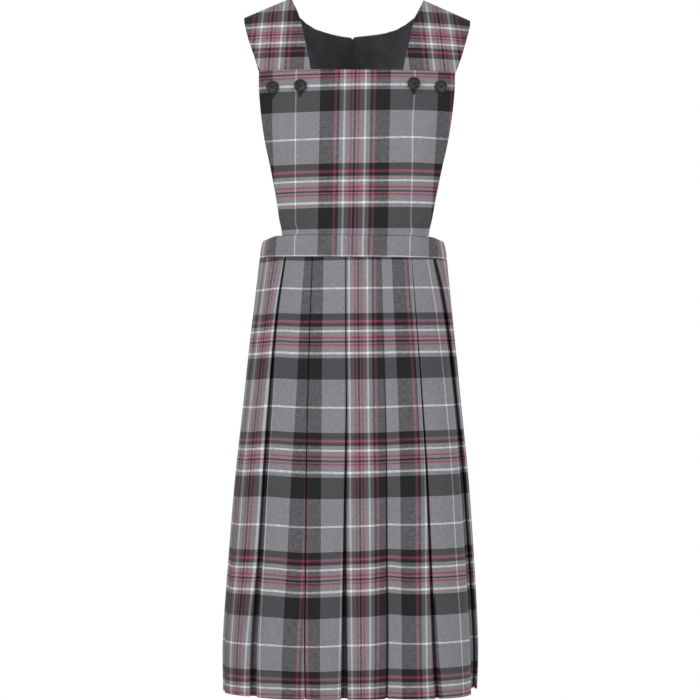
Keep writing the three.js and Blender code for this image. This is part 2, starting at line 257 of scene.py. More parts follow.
STRAP_WEFT = table(
    "z weft",
    (-110, -66),
    (-73, -22),
    (-57.5, 0),
    (-46, 14.6),
    (-40, 20.3),
    (-20, 45.6),
    (-14.6, 51.2),
    (0, 76.4),
    (18, 104),
)
STRAP_WARP = {"back_left": (101.2, 0.057), "back_right": (103.7, 0.11)}
STRAP_LOW_Z, STRAP_TOP_Z = -70, 12
STRAP_MIDDLE = 95
TWILL_SPACING = 2.4
EYE_GAMMA = 2.2
LINING_CLOTH = "39393E"
BUTTON_RESIN = "252120"
THREAD = "242122"

BUTTONS = {
    "button_left_outer": (-94.9, -91.9),
    "button_left_inner": (-63.3, -91.2),
    "button_right_inner": (67, -87.4),
    "button_right_outer": (97.8, -89.5),
}
BUTTON_RADIUS = 7.5
BUTTON_HEIGHT = 2.8
BUTTON_GAP = 0.4
BUTTON_RIM_WIDTH = 1.5
BUTTON_WELL = 0.9
BUTTON_EDGE = 0.45
BUTTON_HOLE_RADIUS, BUTTON_HOLE_OFFSET = 0.85, 2.1
THREAD_RADIUS = 0.35
# How far a pair's strands lie from its middle, and how deep loops sink, by their own radius
STRAND_OFFSET, LOOP_SUNK = 0.28, 0.45
BUTTONHOLE_LENGTH, BUTTONHOLE_WIDTH, BUTTONHOLE_DROP = 15, 2.4, 4.6
STITCH_RADIUS, STITCH_LENGTH = 0.3, 2.2
SIDE_STITCHES, END_STITCHES = 34, 6


def smooth(rows, by, at, column):
    """A column of a table at values of another column, easing between rows as the solids do."""
    keys, values = rows[by], rows[column]
    if keys[-1] < keys[0]:
        keys, values, at = -keys, values, -np.asarray(at, float)
    at = np.clip(at, keys[0], keys[-1])
    i = np.clip(np.searchsorted(keys, at, "left"), 1, len(keys) - 1)
    low, high = i - 1, i
    before, after = np.maximum(i - 2, 0), np.minimum(i + 1, len(keys) - 1)
    span = keys[high] - keys[low]
    t = (at - keys[low]) / span
    start = (values[high] - values[before]) / (keys[high] - keys[before]) * span
    end = (values[after] - values[low]) / (keys[after] - keys[low]) * span
    return (
        (2 * t**3 - 3 * t**2 + 1) * values[low]
        + (t**3 - 2 * t**2 + t) * start
        + (3 * t**2 - 2 * t**3) * values[high]
        + (t**3 - t**2) * end
    )


def ease(value, low, high):
    """0 below low, 1 above high, and a smooth step between."""
    t = np.clip((value - low) / (high - low), 0, 1)
    return t * t * (3 - 2 * t)


def depth_at(x, half_width, half_depth, square):
    """How deep a level section is at x."""
    share = np.minimum(np.abs(x) / half_width, 1)
    return half_depth * (1 - share**square) ** (1 / square)


def figure_point(x, along):
    """A point on the figure at x, along the path from chest over shoulder to back."""
    side = np.where(along < 0, -1.0, 1.0)
    reach = np.abs(along)
    low_z = ARCH_BASE_Z - (np.maximum(reach, 1) - 1) * PATH_UNIT
    section = [smooth(FIGURE, "z", low_z, c) for c in ("half_width", "half_depth", "square")]
    depth = depth_at(x, *section)
    angle = np.minimum(reach, 1) * math.pi / 2
    bend = 2 / ARCH_ROUNDNESS
    crest = CREST_Z - (np.abs(x) - CREST_X) * CREST_SLOPE
    rise = (crest - ARCH_BASE_Z) * np.maximum(np.cos(angle), 0) ** bend
    on_arch = reach <= 1
    y = side * depth * np.where(on_arch, np.sin(angle) ** bend, 1)
    z = np.where(on_arch, ARCH_BASE_Z + rise, low_z)
    return np.stack([x + 0 * y, y, z], -1)


def lifted(x, along, lift):
    """The same point moved out along the surface's normal."""
    step = 0.01
    inwards = np.where(x < 0, 1.0, -1.0)
    point = figure_point(x, along)
    across = (figure_point(x + inwards, along) - point) * inwards[..., None]
    onward = figure_point(x, along + step) - figure_point(x, along - step)
    normal = np.cross(onward, across)
    normal /= np.linalg.norm(normal, axis=-1, keepdims=True)
    return point - normal * np.asarray(lift)[..., None]


# A soft crease: its middle, how far it reaches along and beside itself, how deep it presses in, or
# out where that is negative, and how many degrees it leans
CREASE_COLUMNS = "across down length width deep lean"


def crease_depth(creases, across, down):
    """How deep a set of soft creases presses a panel in at a place."""
    depth = np.zeros(np.broadcast(across, down).shape)
    for x, y, length, width, deep, lean in zip(*(creases[c] for c in CREASE_COLUMNS.split())):
        turn = math.radians(lean)
        a, b = across - x, down - y
        beside = a * math.cos(turn) + b * math.sin(turn)
        onward = -a * math.sin(turn) + b * math.cos(turn)
        depth += deep * np.exp(-((beside / width) ** 2) - (onward / length) ** 2)
    return depth


def deselect_all():
    """Back to object mode, with nothing selected."""
    if bpy.context.object and bpy.context.object.mode != "OBJECT":
        bpy.ops.object.mode_set(mode="OBJECT")
    bpy.ops.object.select_all(action="DESELECT")


def select_only(*pieces):
    """Back to object mode, with these pieces alone selected and the first of them active."""
    deselect_all()
    for piece in pieces:
        piece.select_set(True)
    bpy.context.view_layer.objects.active = pieces[0]


def modify(piece, name, kind, **settings):
    """Adds a modifier with its settings to a piece, and applies it."""
    made = piece.modifiers.new(name, kind)
    for setting, value in settings.items():
        setattr(made, setting, value)
    bpy.context.view_layer.objects.active = piece
    bpy.ops.object.modifier_apply(modifier=made.name)


def round_edges(piece, name, width, segments, sharp):
    """Rounds a piece's edges that turn by more than a sharp angle, in degrees."""
    turn = {"limit_method": "ANGLE", "angle_limit": math.radians(sharp)}
    modify(piece, name, "BEVEL", width=width, segments=segments, **turn)


def lay(name, points, check, thickness, edge):
    """Cuts a flat grid of cloth, lays it on its form, writes its place in the check, and gives it
    its thickness and the roundness of its turned edges. Points and places are in rows down it."""
    rows, columns = points.shape[0] - 1, points.shape[1] - 1
    deselect_all()
    bpy.ops.mesh.primitive_grid_add(x_subdivisions=columns, y_subdivisions=rows, size=1)
    cloth = bpy.context.object
    mesh = cloth.data
    cloth.name = mesh.name = name
    flat = np.empty(len(mesh.vertices) * 3)
    mesh.vertices.foreach_get("co", flat)
    flat = flat.reshape(-1, 3)
    row = np.rint((0.5 - flat[:, 1]) * rows).astype(int)
    column = np.rint((flat[:, 0] + 0.5) * columns).astype(int)
    mesh.vertices.foreach_set("co", (points[row, column] * MM).ravel())
    corners = np.empty(len(mesh.loops), int)
    mesh.loops.foreach_get("vertex_index", corners)
    mesh.uv_layers[0].data.foreach_set("uv", check[row, column][corners].ravel())
    mesh.uv_layers[0].name = "check_mm"
    mesh.update()
    select_only(cloth)
    bpy.ops.object.mode_set(mode="EDIT")
    bpy.ops.mesh.select_all(action="SELECT")
    bpy.ops.mesh.normals_make_consistent(inside=False)
    bpy.ops.object.mode_set(mode="OBJECT")
    modify(cloth, "cloth", "SOLIDIFY", thickness=thickness * MM, offset=0, use_even_offset=True)
    if edge:
        round_edges(cloth, "turned_edge", edge * MM, 2, 60)
    bpy.ops.object.shade_smooth_by_angle(angle=math.radians(50))
    return cloth


def shares(rows, columns):
    """The share down a panel of each of its rows, and across it of each of its columns."""
    return np.linspace(0, 1, rows + 1)[:, None], np.linspace(0, 1, columns + 1)[None, :]


def places(across, down):
    """Places in the check, from two arrays that may be rows or columns."""
    return np.stack(np.broadcast_arrays(across, down), -1).astype(float)


def measured_across(points, x):
    """How far each point lies from the panel's centre line, measured along its own row."""
    steps = np.linalg.norm(np.diff(points, axis=1), axis=-1)
    length = np.concatenate([np.zeros((len(points), 1)), steps.cumsum(axis=1)], axis=1)
    centre = np.array([np.interp(0, row_x, row) for row_x, row in zip(x, length)])
    return length - centre[:, None]


# Materials


def colour(hex_code):
    """An sRGB hex value as a linear colour."""
    channels = [int(hex_code[i : i + 2], 16) / 255 for i in (0, 2, 4)]
    linear = [c / 12.92 if c <= 0.04045 else ((c + 0.055) / 1.055) ** 2.4 for c in channels]
    return (*linear, 1)


def set_inputs(tree, node, inputs):
    """Gives a node its inputs: values, sockets, or nodes, which stand for their first output."""
    for socket, value in dict(inputs).items():
        if isinstance(value, bpy.types.Node):
            value = value.outputs[0]
        if isinstance(value, bpy.types.NodeSocket):
            tree.links.new(value, node.inputs[socket])
        else:
            node.inputs[socket].default_value = value


def add(tree, kind, inputs=(), **settings):
    """Adds a node with its settings and its inputs."""
    made = tree.nodes.new(kind)
    for name, value in settings.items():
        setattr(made, name, value)
    set_inputs(tree, made, inputs)
    return made


def stripes(tree, place, sett, length):
    """The stripes of one thread system, from a place in the check in millimetres."""
    share = add(tree, "ShaderNodeMath", {0: place, 1: length}, operation="DIVIDE")
    ramp = add(tree, "ShaderNodeValToRGB", {0: share})
    ramp.color_ramp.interpolation = "CONSTANT"
    for i, (start, thread) in enumerate(sett):
        stops = ramp.color_ramp.elements
        stop = stops[i] if i < 2 else stops.new(start / length)
        stop.position = start / length
        stop.color = colour(thread)
    return ramp


# A colour mixed so that it is multiplied by a shade
DYEING = {"data_type": "RGBA", "blend_type": "MULTIPLY"}


def new_material(name):
    """A material, with its tree and the shader that its nodes lead to."""
    material = bpy.data.materials.new(name)
    material.use_nodes = True
    return material, material.node_tree, material.node_tree.nodes["Principled BSDF"]


def check_cloth():
    """Polyester and viscose suiting in a yarn-dyed 2/2 twill: matt, with a faint sheen where it
    turns away, fine diagonal lines, and stripes that mix where warp and weft cross."""
    material, tree, shader = new_material("yarn_dyed_check_twill")
    cut = add(tree, "ShaderNodeUVMap", uv_map="check_mm")
    split = add(tree, "ShaderNodeSeparateXYZ", {0: cut})
    across, down = split.outputs[0], split.outputs[1]

    # The warp is the same both ways from its centre, so its half repeat is folded back
    folded = add(tree, "ShaderNodeMath", {0: across, 1: REPEAT / 2}, operation="PINGPONG")
    wrapped = add(tree, "ShaderNodeMath", {0: down, 1: REPEAT}, operation="FLOORED_MODULO")
    warp = stripes(tree, folded, WARP_SETT, REPEAT / 2)
    weft = stripes(tree, wrapped, WEFT_SETT, REPEAT)

    # Melange: threads are unevenly dyed along their length. Real ones are 0.35 mm wide, and are
    # drawn about 1.7 mm wide so that they show
    streaks = []
    for stretch in ((0.6, 0.2, 1), (0.16, 0.6, 1)):
        drawn = add(tree, "ShaderNodeMapping", {0: cut, 3: stretch})
        noise = {"Vector": drawn, "Scale": 1, "Detail": 2}
        streaks.append(add(tree, "ShaderNodeTexNoise", noise))
    both = add(tree, "ShaderNodeMath", {0: streaks[0], 1: streaks[1]}, operation="ADD")

    # Twill lines: real ones are 0.7 mm apart, and are drawn 1.7 mm apart so that they show
    diagonal = add(tree, "ShaderNodeMath", {0: across, 1: down}, operation="ADD")
    turns = 2 * math.pi / TWILL_SPACING
    waves = add(tree, "ShaderNodeMath", {0: diagonal, 1: turns}, operation="MULTIPLY")
    twill = add(tree, "ShaderNodeMath", {0: waves}, operation="SINE")
    uneven = add(tree, "ShaderNodeMath", {0: both, 1: 2.6, 2: twill}, operation="MULTIPLY_ADD")
    spread = {0: uneven, 1: 1.6, 2: 3.6, 3: 0.46, 4: 0.68}
    weft_share = add(tree, "ShaderNodeMapRange", spread, clamp=False)

    # Dark threads shade the light ones beside them, so the mix is made as the eye sees it
    seen = [add(tree, "ShaderNodeGamma", {0: sett, 1: 1 / EYE_GAMMA}) for sett in (warp, weft)]
    mixed = {0: weft_share, 6: seen[0], 7: seen[1]}
    woven = add(tree, "ShaderNodeMix", mixed, data_type="RGBA")
    lit = add(tree, "ShaderNodeGamma", {0: woven.outputs[2], 1: EYE_GAMMA})

    # Handling has left the cloth very slightly cloudy
    cloudy = add(tree, "ShaderNodeTexNoise", {"Vector": cut, "Scale": 0.02, "Detail": 2})
    mottle = add(tree, "ShaderNodeMath", {0: cloudy, 1: 0.35, 2: both}, operation="MULTIPLY_ADD")
    shade = add(tree, "ShaderNodeMapRange", {0: mottle, 1: 0.75, 2: 1.6, 3: 0.8, 4: 1.2})
    dyed = add(tree, "ShaderNodeMix", {0: 1, 6: lit, 7: shade}, **DYEING)

    grain = add(tree, "ShaderNodeMath", {0: both, 1: 1.5, 2: twill}, operation="MULTIPLY_ADD")
    relief = add(tree, "ShaderNodeBump", {"Strength": 0.3, "Distance": 0.00025, "Height": grain})
    finish = {"Roughness": 0.82, "Specular IOR Level": 0.25, "Sheen Weight": 0.1}
    finish |= {"Base Color": dyed.outputs[2], "Normal": relief, "Sheen Roughness": 0.4}
    set_inputs(tree, shader, finish)
    return material


def lining_cloth():
    """Woven polyester lining, dyed charcoal: smoother than the suiting, with a low sheen, and soft
    clouds that make its colour lighter and darker at random."""
    material, tree, shader = new_material("charcoal_lining")
    cut = add(tree, "ShaderNodeUVMap", uv_map="check_mm")

    # Real ribs are 0.3 mm apart, and are drawn 0.7 mm apart so that they show
    ribs = add(tree, "ShaderNodeTexWave", {"Vector": cut, "Scale": 0.45, "Distortion": 0.6})
    clouds = add(tree, "ShaderNodeTexNoise", {"Vector": cut, "Scale": 0.045, "Detail": 3})
    shade = add(tree, "ShaderNodeMapRange", {0: clouds, 1: 0.35, 2: 0.7, 3: 0.72, 4: 1.5})
    dyed = add(tree, "ShaderNodeMix", {0: 1, 6: colour(LINING_CLOTH), 7: shade}, **DYEING)
    relief = add(tree, "ShaderNodeBump", {"Strength": 0.25, "Distance": 0.0002, "Height": ribs})
    finish = {"Base Color": dyed.outputs[2], "Normal": relief, "Roughness": 0.55}
    set_inputs(tree, shader, finish | {"Sheen Weight": 0.2})
    return material


def button_resin():
    """Cast polyester button resin, dark brown-black: turned and tumbled to a soft gloss, with
    faint clouds in it, about 4 mm wide."""
    material, tree, shader = new_material("cast_button_resin")
    place = add(tree, "ShaderNodeTexCoord").outputs["Object"]
    clouds = add(tree, "ShaderNodeTexNoise", {"Vector": place, "Scale": 260, "Detail": 3})
    shade = add(tree, "ShaderNodeMapRange", {0: clouds, 1: 0.3, 2: 0.7, 3: 0.7, 4: 1.35})
    dyed = add(tree, "ShaderNodeMix", {0: 1, 6: colour(BUTTON_RESIN), 7: shade}, **DYEING)
    finish = {"Base Color": dyed.outputs[2], "Roughness": 0.42, "IOR": 1.5}
    set_inputs(tree, shader, finish | {"Specular IOR Level": 0.3})
    return material


def sewing_thread():
    """Spun polyester sewing thread, dark grey, matt, and rough with fine hairs."""
    material, tree, shader = new_material("spun_sewing_thread")
    place = add(tree, "ShaderNodeTexCoord").outputs["Object"]
    twist = add(tree, "ShaderNodeTexNoise", {"Vector": place, "Scale": 2500, "Detail": 2})
    relief = add(tree, "ShaderNodeBump", {"Strength": 0.4, "Distance": 0.0001, "Height": twist})
    finish = {"Base Color": colour(THREAD), "Normal": relief, "Roughness": 0.8}
    set_inputs(tree, shader, finish)
    return material


# Pieces


def bib_point(x, z, lift):
    """A point that stands off the chest at x and z by a lift."""
    return lifted(x, -1 - (ARCH_BASE_Z - np.minimum(z, ARCH_BASE_Z)) / PATH_UNIT, lift)


BIB_CREASES = table(
    CREASE_COLUMNS,
    (-66, -257, 9, 6, 1.7, 78),
    (-80, -248, 14, 6, -1.3, 50),
    (-55, -246, 12, 7, 0.8, 30),
    (58, -257, 8, 6, 1.5, -72),
    (74, -249, 16, 7, -1.4, -40),
    (82, -258, 9, 5, 1.1, -60),
    (-40, -206, 46, 13, 1.1, 20),
    (34, -214, 52, 15, 1.1, -12),
    (-6, -250, 22, 9, -0.6, 8),
    (-90, -150, 34, 11, -1.0, 12),
    (84, -142, 40, 11, -1.1, -18),
    (-81, -104, 12, 16, 0.9, 80),
    (84, -103, 12, 16, 0.9, 100),
    (6, -128, 60, 20, -0.8, 4),
)
# Where the weft sags or rises, and where the warp is pushed aside by the gathers at the waist
BIB_SAGS = table(
    CREASE_COLUMNS,
    (64, -150, 30, 34, 1.2, 90),
    (-60, -120, 40, 40, -0.6, 90),
)
BIB_KINKS = table(
    CREASE_COLUMNS,
    (-68, -260, 5, 12, -2.2, 0),
    (64, -259, 5, 12, -1.8, 0),
    (66, -130, 30, 20, 1.0, 0),
    (76, -95, 34, 24, -1.4, 0),
    (-92, -120, 110, 26, 2.6, 0),
    (104, -150, 120, 24, -2.2, 0),
)
BAND_CREASES = table(
    CREASE_COLUMNS,
    (-92, 8, 9, 7, 0.8, 15),
    (-70, 16, 8, 9, -0.5, -30),
    (40, 6, 7, 12, 0.4, 60),
    (88, 9, 9, 7, 0.8, -15),
    (112, 16, 9, 9, -0.5, 10),
    (250, 9, 9, 9, 0.7, 20),
    (330, 14, 8, 12, -0.5, -40),
    (420, 8, 9, 10, 0.6, 15),
)


def bib_shape(x, z):
    """A point of the bib's middle layer, pressed in and out by its creases."""
    lift = smooth(BIB, "z", z, "lift") + BIB_THICKNESS / 2
    # The creases die out at the waist seam and at the stiff top edge
    lift = lift - crease_depth(BIB_CREASES, x, z) * ease(z, -267, -262) * ease(-z, 74, 84)
    return bib_point(x, z, lift)


def bib():
    """The bib, from its top edge to the waist seam."""
    down, across = shares(96, 110)
    z = BIB_TOP_Z + down * (BIB["z"][-1] - BIB_TOP_Z) + 0 * across
    half = smooth(BIB, "z", z, "half_width")
    x = -half + BIB_LEFT_TUCK + across * (2 * half - BIB_LEFT_TUCK)
    points = bib_shape(x, z)
    turned = BIB_WARP_LEAN * (BIB_TOP_Z - z)
    kink = crease_depth(BIB_KINKS, x, z)
    check = places(
        measured_across(points, x) + turned + kink,
        BIB_WEFT_START - z + WEFT_RISE * x + crease_depth(BIB_SAGS, x, z),
    )
    return lay("bib_panel", points, check, BIB_THICKNESS, edge=0.5)


def path_length_table(x, start, end, steps=900):
    """Distances along the figure's path at x, from its crest."""
    along = np.linspace(start, end, steps)
    points = figure_point(np.full(steps, float(x)), along)
    length = np.concatenate([[0], np.linalg.norm(np.diff(points, axis=0), axis=1).cumsum()])
    return along, length - np.interp(0, along, length)


BACK_CREASES = table(
    CREASE_COLUMNS,
    (40, -230, 30, 9, 1.1, 24),
    (66, -205, 40, 10, -1.0, 30),
    (25, -150, 60, 15, 0.8, -8),
    (88, -130, 36, 12, 0.9, 18),
    (55, -80, 42, 15, -0.9, 35),
)


def strap_weft(z):
    """How far the check has run up the front of a strap at a height."""
    return np.interp(z, STRAP_WEFT["z"], STRAP_WEFT["weft"])


def panel_edges(along):
    """The half back's inner and outer edges, straight between rows that are close together."""
    return [np.interp(along, BACK["along"], BACK[edge]) for edge in ("inner", "outer")]


def off_middle(inner, side):
    """The half back's inner edge, closed up to the seam and moved with it."""
    closed = np.maximum(inner - SEAM_GAP / 2, CENTRE_GAP)
    return closed + side * BACK_SEAM_X * np.clip(1 - closed / NECK_REACH, 0, 1)


def half_back(name, side):
    """Half the back, cut in one with its strap, from the strap's end to the waist seam."""
    first, last = BACK["along"][0], BACK["along"][-1]
    down, across = shares(210, 46)
    # Rows are closer together over the shoulder and round the neck, where the edge turns most
    along = np.interp(down, (0, 0.12, 0.62, 1), (first, -1, 0.9, last))
    inner, outer = panel_edges(along)
    inner = off_middle(inner, side)
    if side > 0:
        outer = outer + RIGHT_STRAP_FLARE * np.exp(-(((along + 1) / FLARE_REACH) ** 2))
    x = side * (inner + (outer - inner) * across) + STRAP_SWAY * (1 - ease(along, 0.2, 0.6))
    along = along + 0 * x
    height = figure_point(x, along)[..., 2]
    # The creases lie on the back alone, and die out at the waist seam
    creased = ease(along, 0.7, 1) * ease(height, -265, -250)
    lift = BACK_LIFT - crease_depth(BACK_CREASES, np.abs(x), height) * creased
    points = lifted(x, along, lift)

    # The weft stays level on the front and the back, and shears a little just past the crest
    crest = strap_weft(CREST_Z - (np.abs(x) - CREST_X) * CREST_SLOPE)
    paths, lengths = path_length_table(STRAP_MIDDLE, first, last)
    run = np.interp(along, paths, lengths)
    behind = paths > 0
    heights = figure_point(np.full(len(paths), STRAP_MIDDLE), np.abs(paths))[..., 2]
    level_at = np.interp(-height, -heights[behind], lengths[behind])
    level = strap_weft(CREST_Z - (STRAP_MIDDLE - CREST_X) * CREST_SLOPE) + level_at
    past = crest + run
    on_back = past + (level - past) * ease(along, 0.05, 1)
    down_check = np.where(along < 0, strap_weft(height), on_back)

    centre, lean = STRAP_WARP[name]
    shift = centre - lean * (np.where(along < 0, height, STRAP_TOP_Z) - STRAP_LOW_Z)
    check = places(side * x - shift, down_check)
    return lay(f"{name}_panel", points, check, BACK_THICKNESS, edge=0.4)


LINING_CREASES = table(
    CREASE_COLUMNS,
    (38, -36, 14, 8, 0.45, 40),
    (52, -52, 18, 9, -0.45, 120),
    (22, -58, 22, 10, 0.4, 20),
    (30, -90, 30, 12, -0.4, -20),
)
SEAM_STRIP_WIDTH, SEAM_STRIP_HEIGHT, SEAM_STRIP_EDGE = 9, 0.35, 1.5


def half_lining(name, side):
    """Half the back's lining, with the pressed seam allowance showing through on one side."""
    down, across = shares(130, 48)
    along = np.interp(down, (0, 0.6, 1), (LINING_TOP, 0.9, BACK["along"][-1]))
    inner, outer = panel_edges(along)
    inner = off_middle(np.where(inner < 1, inner, inner + LINING_INSET), side)
    # Columns are closer together by the centre-back seam, where the strip is
    x = side * (inner + (outer - LINING_INSET - inner) * across**1.3)
    along = along + 0 * x
    z = figure_point(x, along)[..., 2]
    beside = ease(x - BACK_SEAM_X, SEAM_STRIP_WIDTH - SEAM_STRIP_EDGE, SEAM_STRIP_WIDTH)
    strip = SEAM_STRIP_HEIGHT * (1 - beside)
    lift = LINING_LIFT - crease_depth(LINING_CREASES, np.abs(x), z) - (strip if side > 0 else 0)
    return lay(f"{name}_panel", lifted(x, along, lift), places(x, z), LINING_THICKNESS, edge=0.25)


def ring_point(angle, half_width, half_depth, square):
    """A point of a level section at an angle from +X, and its outward normal."""
    bend = 2 / square
    x = half_width * np.sign(np.cos(angle)) * np.abs(np.cos(angle)) ** bend
    y = half_depth * np.sign(np.sin(angle)) * np.abs(np.sin(angle)) ** bend
    steep = square - 1
    nx = np.sign(x) * (np.abs(x) / half_width) ** steep / half_width
    ny = np.sign(y) * (np.abs(y) / half_depth) ** steep / half_depth
    size = np.hypot(nx, ny)
    return np.stack([x, y], -1), np.stack([nx / size, ny / size], -1)


def measured_ring(section, steps=2880):
    """Distances round a level section from the centre front, with its points and normals."""
    angle = -math.pi / 2 + np.linspace(0, 2 * math.pi, steps + 1)
    points, normals = ring_point(angle, *section)
    length = np.concatenate([[0], np.linalg.norm(np.diff(points, axis=0), axis=1).cumsum()])
    return length, points, normals


def on_ring(ring, at, depth):
    """Points at distances round a measured ring, moved in by a depth."""
    length, points, normals = ring
    at = np.mod(at, length[-1])
    point, normal = (
        np.stack([np.interp(at, length, values[:, k]) for k in (0, 1)], -1)
        for values in (points, normals)
    )
    normal /= np.linalg.norm(normal, axis=-1, keepdims=True)
    return point - normal * np.asarray(depth)[..., None]


def waistband(name, side):
    """Half of the waistband, a folded and stiffened strip, softly rounded at its edges."""
    down, across = shares(16, 170)
    section = [smooth(FIGURE, "z", BAND_TOP_Z, c) for c in ("half_width", "half_depth", "square")]
    ring = measured_ring(section)
    quarter = ring[0][-1] / 4
    span = (across - 0.5) * 2 * (quarter - SEAM_GAP / 2)
    at = (span if side < 0 else span + 2 * quarter) + 0 * down
    from_middle = np.abs(on_ring(ring, at, 0 * at)[..., 0])
    lift = BAND_SIDE_LIFT + (BAND_LIFT - BAND_SIDE_LIFT) * (1 - ease(from_middle, 60, 100))
    roundness = 0.9 * np.abs(2 * down - 1) ** 5
    # The stiffening ripples a little, and the seams below pull the cloth into small bumps
    ripple = 0.3 * np.sin(at / 23 + 1.3) * np.sin(at / 57 + down * 2)
    bumps = crease_depth(BAND_CREASES, at, BAND_HEIGHT * down)
    hug = BAND_HUG * (1 - down) ** 1.5 * ease(from_middle, 70, 104)
    flat = sway(on_ring(ring, at, roundness + ripple + bumps + hug - lift))
    dip = SIDE_DIP * ease(np.abs(flat[..., 0]), SIDE_DIP_FROM, SIDE_DIP_TO)
    top = BAND_TOP_Z - dip
    z = top + (BAND_TOP_Z - BAND_HEIGHT - top) * down
    shift = BAND_WARP_SHIFT if side < 0 else STRAP_WARP["back_left"][0]
    check = places(span * BAND_WARP_SPREAD + shift, BAND_WEFT_START - z + 0 * across)
    points = np.concatenate([flat, z[..., None]], -1)
    return lay(f"{name}_strip", points, check, BAND_THICKNESS, edge=0.8)


def half_fold(edge, middle, way, drop, samples):
    """From a pleat face's folded edge to the middle of the recess's underlay: distances round the
    ring and depths. The cloth turns under the face, back on itself, and on behind the recess,
    where it falls back by a drop."""
    arc, flat, underlay = samples
    radius = LAYER_PITCH / 2
    turn = np.linspace(0, math.pi, arc + 1)
    first_s = edge - way * radius + way * radius * np.sin(turn)
    first_d = radius - radius * np.cos(turn)
    inner = edge - way * (PLEAT_FOLD - radius)
    back_s = np.linspace(first_s[-1], inner, flat + 1)[1:]
    second_s = inner - way * radius * np.sin(turn[1:])
    second_d = LAYER_PITCH + radius - radius * np.cos(turn[1:])
    last_s = np.linspace(inner, middle, underlay + 1)[1:]
    s = np.concatenate([first_s, back_s, second_s, last_s])
    d = np.concatenate([
        first_d,
        np.full(flat, LAYER_PITCH),
        second_d,
        2 * LAYER_PITCH + drop * ease(np.linspace(0, 1, underlay + 1)[1:], 0, 1),
    ])
    return s, d


# Points on each turn of a half fold, on the flat between the turns, and on the underlay
FOLD_SAMPLES = (6, 3, 8)
FACE_SAMPLES = 18
UNDERLAY_SHOWN = 8
# The cloth that the folds between a face and its underlay take up
FOLD_TAKES = 2 * PLEAT_FOLD + 4


def fold_warp(face, middle, s):
    """Places in the warp along a half fold: true to size on the underlay that shows, and taken up
    evenly by the folds that don't."""
    share = np.linspace(0, 1, len(s))
    shown = middle + (s - s[-1])
    start = len(s) - UNDERLAY_SHOWN
    hidden = face + (shown[start] - face) * share / share[start]
    return np.where(np.arange(len(s)) < start, hidden, shown)


def nearest_repeat(value, target):
    """The same place of a check, in the repeat nearest to a target."""
    return value + REPEAT * np.rint((target - value) / REPEAT)


def pleated_row(starts, widths, faces, middles, drops):
    """One level row of pleated cloth: distances round the ring, depths, and places in the warp."""
    gap = SEAM_GAP / 2
    radius = LAYER_PITCH / 2
    s_parts, d_parts, u_parts = [], [], []
    spread = 0.5 - 0.5 * np.cos(np.linspace(0, math.pi, FACE_SAMPLES + 1))
    last = len(faces) - 1
    for i, (left, right) in enumerate(faces):
        left_edge, right_edge = starts[i] + widths[i], starts[i + 1]
        first_middle = starts[i] + widths[i] / 2 + (gap if i == 0 else 0)
        last_middle = starts[i + 1] + widths[i + 1] / 2 - (gap if i == last else 0)
        left_s, left_d = half_fold(left_edge, first_middle, -1, drops[i], FOLD_SAMPLES)
        right_s, right_d = half_fold(right_edge, last_middle, 1, drops[i + 1], FOLD_SAMPLES)
        face_s = left_edge + radius + spread * (right_edge - left_edge - 2 * radius)
        left_u = fold_warp(left, nearest_repeat(middles[i], left - FOLD_TAKES), left_s)
        right_middle = nearest_repeat(middles[i + 1], right + FOLD_TAKES)
        right_u = fold_warp(right, right_middle, right_s)
        face_u = left + (right - left) * spread
        start = 0 if i == 0 else 1
        s_parts += [left_s[::-1][start:], face_s[1:-1], right_s]
        d_parts += [left_d[::-1][start:], 0 * face_s[1:-1], right_d]
        u_parts += [left_u[::-1][start:], face_u[1:-1], right_u]
    return [np.concatenate(parts) for parts in (s_parts, d_parts, u_parts)]


def recesses(side, ring_length, waist_length, down):
    """Where the recesses of the skirt's front or back start on one row, and their widths."""
    made = FRONT_RECESSES
    middles = [smooth(RECESS_LINES, "down", down, str(i)) for i in range(len(made["opens"]))]
    front_width = made["closed"] + (made["opens"] - made["closed"]) * down ** made["curve"]
    front = np.array(middles) * ring_length / waist_length - front_width / 2
    if side < 0:
        return front, front_width
    start, end = front[-1], front[0] + ring_length
    back = start + (end - start) * np.arange(BACK_PLEATS + 1) / BACK_PLEATS
    width = np.full(BACK_PLEATS + 1, BACK_CLOSED + (BACK_OPENS - BACK_CLOSED) * down**BACK_CURVE)
    width[0], width[-1] = front_width[-1], front_width[0]
    return back, width


def faces_on_row(side, starts, widths, down):
    """Where each face's edges and each underlay's middle lie in the warp on one row."""
    if side < 0:
        edges = [
            [smooth(FRONT_WARP, "down", down, f"{edge}{i}") for edge in "lr"]
            for i in range(FRONT_PLEATS)
        ]
        # The front's underlays sit mostly in the check's black stripes: painted shade in the
        # recesses
        return edges, FRONT_RECESSES["warp"]
    middle = BACK_WARP_START + PLEAT_ADVANCE * np.arange(1, BACK_PLEATS + 1)
    half = (starts[1:] - starts[:-1] - widths[:-1]) / 2
    between = middle[0] + PLEAT_ADVANCE * (np.arange(BACK_PLEATS + 1) - 0.5)
    return list(zip(middle - half, middle + half)), between


